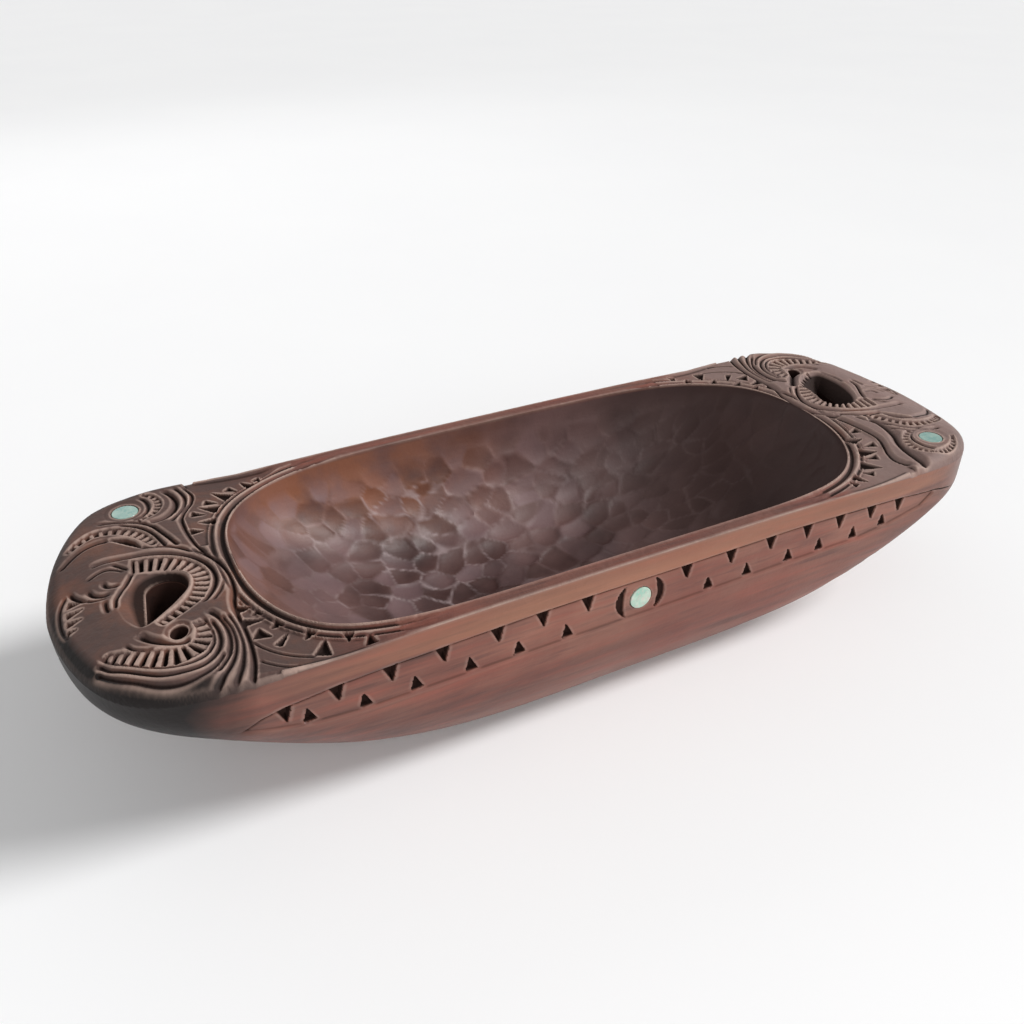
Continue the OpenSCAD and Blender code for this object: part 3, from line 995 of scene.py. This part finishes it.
bowl = carved_bowl()
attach(bowl, "root")
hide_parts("bowl")


# ---------------- materials

def srgb(r, g, b):
    def linear(c):
        c = c / 255
        return c / 12.92 if c <= 0.04045 else ((c + 0.055) / 1.055) ** 2.4
    return (linear(r), linear(g), linear(b), 1.0)


COLORS = SimpleNamespace(
    brown=srgb(96, 56, 47), light_brown=srgb(136, 88, 72), red_brown=srgb(112, 54, 44),
    grain=srgb(62, 32, 27), red_streak=srgb(146, 76, 60), dark_streak=srgb(58, 35, 32),
    rim=srgb(160, 108, 80),
    hollow=srgb(60, 37, 35), hollow_light=srgb(104, 74, 70), hollow_warm=srgb(140, 84, 52),
    # next: painted shade for the hollow's right end, then the light and dark facet tones
    hollow_right_shade=srgb(72, 57, 55), facet=srgb(142, 118, 122), dark_facet=srgb(60, 38, 36),
    # next: a painted highlight for the crests between the gouge marks
    web_highlight=srgb(168, 150, 150),
    left_dust=srgb(68, 51, 46), right_dust=srgb(128, 106, 100), warm_dust=srgb(122, 72, 48),
    # next: the nose colour, painted shade for the cuts and openings, and the pale crest colour, which is
    # wear and dust with a painted highlight
    nose=srgb(24, 18, 17), painted_recess_shade=srgb(28, 20, 18), crest=srgb(168, 142, 130),
    pale_shell=(srgb(190, 202, 186), srgb(146, 186, 168), srgb(206, 170, 166)),
    green_shell=(srgb(132, 164, 152), srgb(98, 144, 136), srgb(148, 170, 154)),
    glue=(srgb(70, 52, 34), srgb(128, 108, 74)),
    floor=(srgb(244, 244, 245), srgb(248, 248, 248)))


class Nodes:
    """Short names for building a material's node tree."""

    def __init__(self, name):
        self.material = bpy.data.materials.new(name)
        self.material.use_nodes = True
        self.tree = self.material.node_tree
        self.place = self.node("ShaderNodeTexCoord").outputs["Object"]

    def node(self, kind, inputs=(), **settings):
        item = self.tree.nodes.new(kind)
        for key, value in settings.items():
            setattr(item, key, value)
        for key, value in dict(inputs).items():
            self.put(value, item.inputs[key])
        return item

    def put(self, value, socket):
        if isinstance(value, bpy.types.NodeSocket):
            self.tree.links.new(value, socket)
        else:
            socket.default_value = value

    def shade(self, name, value):
        self.put(value, self.tree.nodes["Principled BSDF"].inputs[name])

    def math(self, operation, a, b=0.0):
        return self.node("ShaderNodeMath", {0: a, 1: b}, operation=operation).outputs[0]

    def plus(self, a, b):
        return self.math("ADD", a, b)

    def times(self, product, *values):
        for value in values:
            product = self.math("MULTIPLY", product, value)
        return product

    def ramp(self, value, low, high, to_low=0.0, to_high=1.0):
        item = self.node("ShaderNodeMapRange", {"Value": value, "From Min": low, "From Max": high,
                                                "To Min": to_low, "To Max": to_high})
        return item.outputs[0]

    def mix(self, share, a, b):
        item = self.node("ShaderNodeMix", data_type="RGBA")
        for socket, value in zip((item.inputs[0], item.inputs[6], item.inputs[7]), (share, a, b)):
            self.put(value, socket)
        return item.outputs[2]

    def attribute(self, name):
        return self.node("ShaderNodeAttribute", attribute_name=name).outputs["Fac"]

    def noise(self, scale, detail=4.0, rough=0.55, stretch=(1.0, 1.0, 1.0)):
        vector = self.node("ShaderNodeMapping", {"Vector": self.place, "Scale": stretch}).outputs[0]
        inputs = {"Vector": vector, "Scale": scale, "Detail": detail, "Roughness": rough}
        return self.node("ShaderNodeTexNoise", inputs).outputs["Fac"]

    def bumps(self, *layers):
        """Bumps on top of each other, each a strength, a distance in metres and a height."""
        normal = None
        for strength, distance, height in layers:
            inputs = {"Strength": strength, "Distance": distance, "Height": height}
            item = self.node("ShaderNodeBump", inputs)
            if normal:
                self.put(normal, item.inputs["Normal"])
            normal = item.outputs[0]
        self.shade("Normal", normal)


def wood_fields(n):
    """What the wood's look depends on: the place, the mesh's fields and noises."""
    fields = ("top", "side", "bore", "hollow", "cut", "wear", "tone", "gap")
    w = SimpleNamespace(**{name: n.attribute(name) for name in fields})
    w.x, w.y, w.z = n.node("ShaderNodeSeparateXYZ", {0: n.place}).outputs
    w.size = n.math("ABSOLUTE", w.x)
    w.grain = n.noise(1.0, 6.0, 0.6, (7.0, 95.0, 95.0))
    w.bands = n.noise(1.0, 3.0, stretch=(2.2, 22.0, 22.0))
    w.streaks = n.noise(1.0, 5.0, 0.65, (12.0, 190.0, 190.0))
    w.patches = n.noise(14.0)
    w.smudges = n.noise(38.0)
    w.nose = nose_mask(n, w)
    w.hidden = hidden_mask(n, w)
    return w


def nose_mask(n, w):
    """Where the noses are nearly black: on the large head's side, and most at the left end."""
    size = n.plus(w.size, n.ramp(w.patches, 0.3, 0.7, -0.012, 0.012))
    mask = n.times(n.ramp(size, 0.188, 0.218), n.ramp(w.gap, 8.0, 4.0))
    mask = n.times(mask, n.ramp(n.times(w.x, w.y), -0.006, 0.004, 0.5, 1.0))
    return n.times(mask, n.ramp(w.x, -0.1, 0.1, 1.0, 0.45))


def hidden_mask(n, w):
    """Painted shade: darkens the deep cuts, narrow valleys and the openings."""
    deep = n.times(w.cut, n.ramp(w.side, 0, 1, 1, 1.7))
    valleys = n.math("MAXIMUM", n.ramp(deep, 1.9, 3.4), n.ramp(w.wear, -0.01, -0.12))
    return n.math("MAXIMUM", valleys, w.bore)


def crest_wear_and_highlight_mask(n, w):
    """Where the crests and edges are pale: worn, dusty crests with a painted highlight on the top, and a
    painted highlight along the edges of the sides.
    """
    top = n.times(n.ramp(w.wear, 0.04, 0.15), n.ramp(w.smudges, 0.3, 0.6, 0.35, 0.9))
    side = n.times(n.ramp(w.wear, 0.03, 0.12), n.ramp(w.nose, 0, 0.5, 0.22, 0))
    return n.plus(n.times(w.top, top), n.times(w.side, side))


def plain_wood(n, w):
    """Streaked red brown, lighter and more orange in the strip under the long rims."""
    color = n.mix(n.ramp(w.bands, 0.35, 0.65), COLORS.brown, COLORS.light_brown)
    color = n.mix(n.ramp(w.patches, 0.48, 0.66, 0, 0.5), color, COLORS.red_brown)
    color = n.mix(n.ramp(w.grain, 0.45, 0.7, 0, 0.6), color, COLORS.grain)
    color = n.mix(n.ramp(w.streaks, 0.5, 0.68, 0, 0.5), color, COLORS.red_streak)
    color = n.mix(n.ramp(w.streaks, 0.47, 0.33, 0, 0.55), color, COLORS.dark_streak)
    strip = n.times(w.side, n.ramp(w.z, 0.0805, 0.0825), n.ramp(w.bands, 0.3, 0.7, 0.2, 0.65))
    strip = n.times(strip, n.ramp(w.x, -0.21, -0.06, 0.1, 1), n.ramp(w.x, 0.2, 0.235, 1, 0))
    return n.mix(strip, color, COLORS.rim)


def hollow_wood(n, w):
    """Purple brown, with painted shade darkening the right end, and orange brown at the left end and
    under the far rim.
    """
    color = n.mix(n.ramp(w.patches, 0.38, 0.62), COLORS.hollow, COLORS.hollow_light)
    under_rim = n.times(n.ramp(w.y, 0.052, 0.075), n.ramp(w.x, 0.03, -0.08))
    warm = n.plus(n.ramp(w.x, -0.14, -0.18, 0, 0.5), under_rim)
    warm = n.times(warm, n.ramp(w.smudges, 0.35, 0.6, 0.25, 1), 0.75)
    color = n.mix(warm, color, COLORS.hollow_warm)
    facet = n.times(n.ramp(w.tone, -0.2, 1.0), n.ramp(w.x, 0.03, 0.11, 0.36, 0.16))
    facet = n.times(facet, n.ramp(w.y, -0.03, 0.01, 0.25, 1))
    color = n.mix(facet, color, COLORS.facet)
    color = n.mix(n.ramp(w.tone, 0.0, -1.0, 0, 0.28), color, COLORS.dark_facet)
    # painted shade: greyer and darker towards the right end of the hollow
    color = n.mix(n.ramp(w.x, 0.0, 0.13, 0, 0.8), color, COLORS.hollow_right_shade)
    # painted highlight: pale lines along the crests between the gouge marks, where the sheen falls
    web_highlight = n.times(w.cut, n.ramp(w.x, -0.055, 0.005, 1, 0.15), n.ramp(w.y, -0.03, 0.005, 0.1, 1))
    web_highlight = n.times(web_highlight, n.ramp(w.z, 0.074, 0.058, 0.1, 1), n.ramp(w.smudges, 0.42, 0.58, 0.08, 0.7))
    return n.mix(web_highlight, color, COLORS.web_highlight)


def dusty(n, w, color):
    """Greyish brown over the carved ends and noses, darker on the left."""
    dust = n.mix(n.ramp(w.x, -0.1, 0.1), COLORS.left_dust, COLORS.right_dust)
    dust = n.mix(n.ramp(w.smudges, 0.5, 0.7, 0, 0.6), dust, COLORS.warm_dust)
    color = n.mix(n.times(n.ramp(w.size, 0.13, 0.17), w.top, 0.85), color, dust)
    return n.mix(n.times(w.side, n.ramp(w.size, 0.215, 0.24), 0.7), color, dust)


def wood_material():
    n = Nodes("oiled_wood")
    w = wood_fields(n)
    carving = n.math("SUBTRACT", 1.0, w.hollow)
    color = n.mix(w.hollow, plain_wood(n, w), hollow_wood(n, w))
    color = n.mix(w.nose, dusty(n, w, color), COLORS.nose)
    # painted shade over the deep cuts, narrow valleys and openings
    color = n.mix(n.times(carving, w.hidden, 0.9), color, COLORS.painted_recess_shade)
    # pale crests and edges: wear and dust with a painted highlight
    n.shade("Base Color", n.mix(crest_wear_and_highlight_mask(n, w), color, COLORS.crest))

    rough_hollow = n.times(w.hollow, n.ramp(w.x, 0.0, 0.13, 0.1, 0.24))
    rough = n.plus(n.ramp(w.patches, 0.3, 0.7, 0.34, 0.48), rough_hollow)
    rough_carving = n.ramp(n.plus(w.top, w.hidden), 0.0, 1.0, 0.05, 0.32)
    n.shade("Roughness", n.plus(rough, n.times(carving, rough_carving)))
    dull_hollow = n.math("SUBTRACT", 1.0, n.times(w.hollow, n.ramp(w.x, 0.0, 0.13, 0, 0.7)))
    shine = n.times(n.ramp(w.hidden, 0, 1, 0.5, 0.1), n.ramp(w.nose, 0, 1, 1, 0.5), dull_hollow)
    n.shade("Specular IOR Level", shine)
    n.bumps((n.ramp(w.top, 0, 1, 0.1, 0.55), 0.0012, n.noise(230.0)), (0.35, 0.0006, w.grain),
            (0.25, 0.0004, n.noise(420.0)))
    return n.material


def shell_material(name, pale, bright, deep):
    n = Nodes(name)
    swirl = n.noise(160.0, 5.0, 0.6)
    color = n.mix(n.ramp(swirl, 0.35, 0.62), pale, bright)
    n.shade("Base Color", n.mix(n.ramp(n.noise(420.0, 3.0), 0.5, 0.7, 0, 0.6), color, deep))
    n.shade("Roughness", 0.22)
    n.shade("Coat Weight", 0.6)
    n.shade("Coat Roughness", 0.08)
    n.bumps((0.2, 0.0003, swirl))
    return n.material


def glue_material():
    n = Nodes("dried_glue")
    lumps = n.noise(600.0)
    n.shade("Base Color", n.mix(lumps, *COLORS.glue))
    n.shade("Roughness", 0.6)
    n.bumps((0.5, 0.0004, lumps))
    return n.material


def floor_material():
    n = Nodes("pale_floor")
    n.shade("Base Color", n.mix(n.noise(3.0), *COLORS.floor))
    n.shade("Roughness", 0.85)
    return n.material


def give(item, material):
    item.data.materials.clear()
    item.data.materials.append(material)


def give_materials():
    wood, glue = wood_material(), glue_material()
    pale_shell = shell_material("pale_shell", *COLORS.pale_shell)
    green_shell = shell_material("green_shell", *COLORS.green_shell)
    give(bowl, wood)
    endings = {"bowl": wood, "side_disc": pale_shell, "end_disc": green_shell, "glue": glue}
    for name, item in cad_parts.items():
        for ending, material in endings.items():
            if name.endswith(ending):
                give(item, material)


# ---------------- floor, lights and camera

FLOOR_SIZE = 60
HORIZON_LIGHT, ZENITH_LIGHT = 0.95, 0.25
SUN = dict(source=(0.95, -0.35, 0.8), strength=2.6, angle=20)
# Soft lights behind and in front: place, width and height, and power
AREAS = {"window": ((-0.2, 1.6, 1.0), (1.6, 0.7), 2.6), "fill": ((-0.2, -1.4, 0.9), (1.6, 0.8), 6)}
LIGHT_TARGET = Vector((0, 0, 0.05))
CAMERA_PLACE = Vector((-240.1, -407.4, RIM_H + 271.3))
CAMERA_FORWARD, CAMERA_RIGHT = (0.3928, 0.7522, -0.5291), (0.8864, -0.4629, 0)
CAMERA_LENS = 33.624


def put_in_scene(name, data):
    item = bpy.data.objects.new(name, data)
    bpy.context.scene.collection.objects.link(item)
    return item


def add_floor():
    mesh = bpy.data.meshes.new("floor")
    corners = [(-1, -1), (1, -1), (1, 1), (-1, 1)]
    mesh.from_pydata([(x * FLOOR_SIZE, y * FLOOR_SIZE, 0) for x, y in corners], [], [(0, 1, 2, 3)])
    item = put_in_scene("floor", mesh)
    give(item, floor_material())


def add_area(name, place, size, power):
    light = bpy.data.lights.new(name, "AREA")
    light.shape = "RECTANGLE"
    light.size, light.size_y = size
    light.energy = power
    item = put_in_scene(name, light)
    item.location = place
    item.rotation_euler = (LIGHT_TARGET - Vector(place)).to_track_quat("-Z", "Y").to_euler()


def add_sun(source, strength, angle):
    light = bpy.data.lights.new("sun", "SUN")
    light.energy = strength
    light.angle = math.radians(angle)
    item = put_in_scene("sun", light)
    item.rotation_euler = (-Vector(source)).to_track_quat("-Z", "Y").to_euler()


def add_world():
    """White near the horizon and dimmer overhead."""
    world = bpy.data.worlds.new("world")
    world.use_nodes = True
    tree = world.node_tree
    background = tree.nodes["Background"]
    background.inputs["Color"].default_value = (1, 1, 1, 1)
    direction = tree.nodes.new("ShaderNodeTexCoord")
    parts = tree.nodes.new("ShaderNodeSeparateXYZ")
    fall = tree.nodes.new("ShaderNodeMapRange")
    limits = {"From Min": 0.3, "From Max": 0.65, "To Min": HORIZON_LIGHT, "To Max": ZENITH_LIGHT}
    for name, value in limits.items():
        fall.inputs[name].default_value = value
    tree.links.new(direction.outputs["Generated"], parts.inputs[0])
    tree.links.new(parts.outputs["Z"], fall.inputs["Value"])
    tree.links.new(fall.outputs[0], background.inputs["Strength"])
    bpy.context.scene.world = world


def add_camera():
    data = bpy.data.cameras.new("camera")
    data.lens = CAMERA_LENS
    data.sensor_width = 36
    data.clip_start = 0.01
    item = put_in_scene("camera", data)
    item.location = CAMERA_PLACE * MM
    forward, right = Vector(CAMERA_FORWARD).normalized(), Vector(CAMERA_RIGHT).normalized()
    turn = Matrix((right, right.cross(forward), -forward)).transposed()
    item.rotation_euler = turn.to_euler()
    bpy.context.scene.camera = item


give_materials()
add_floor()
add_world()
add_sun(**SUN)
for name, values in AREAS.items():
    add_area(name, *values)
add_camera()
bpy.context.scene.view_settings.view_transform = "Standard"
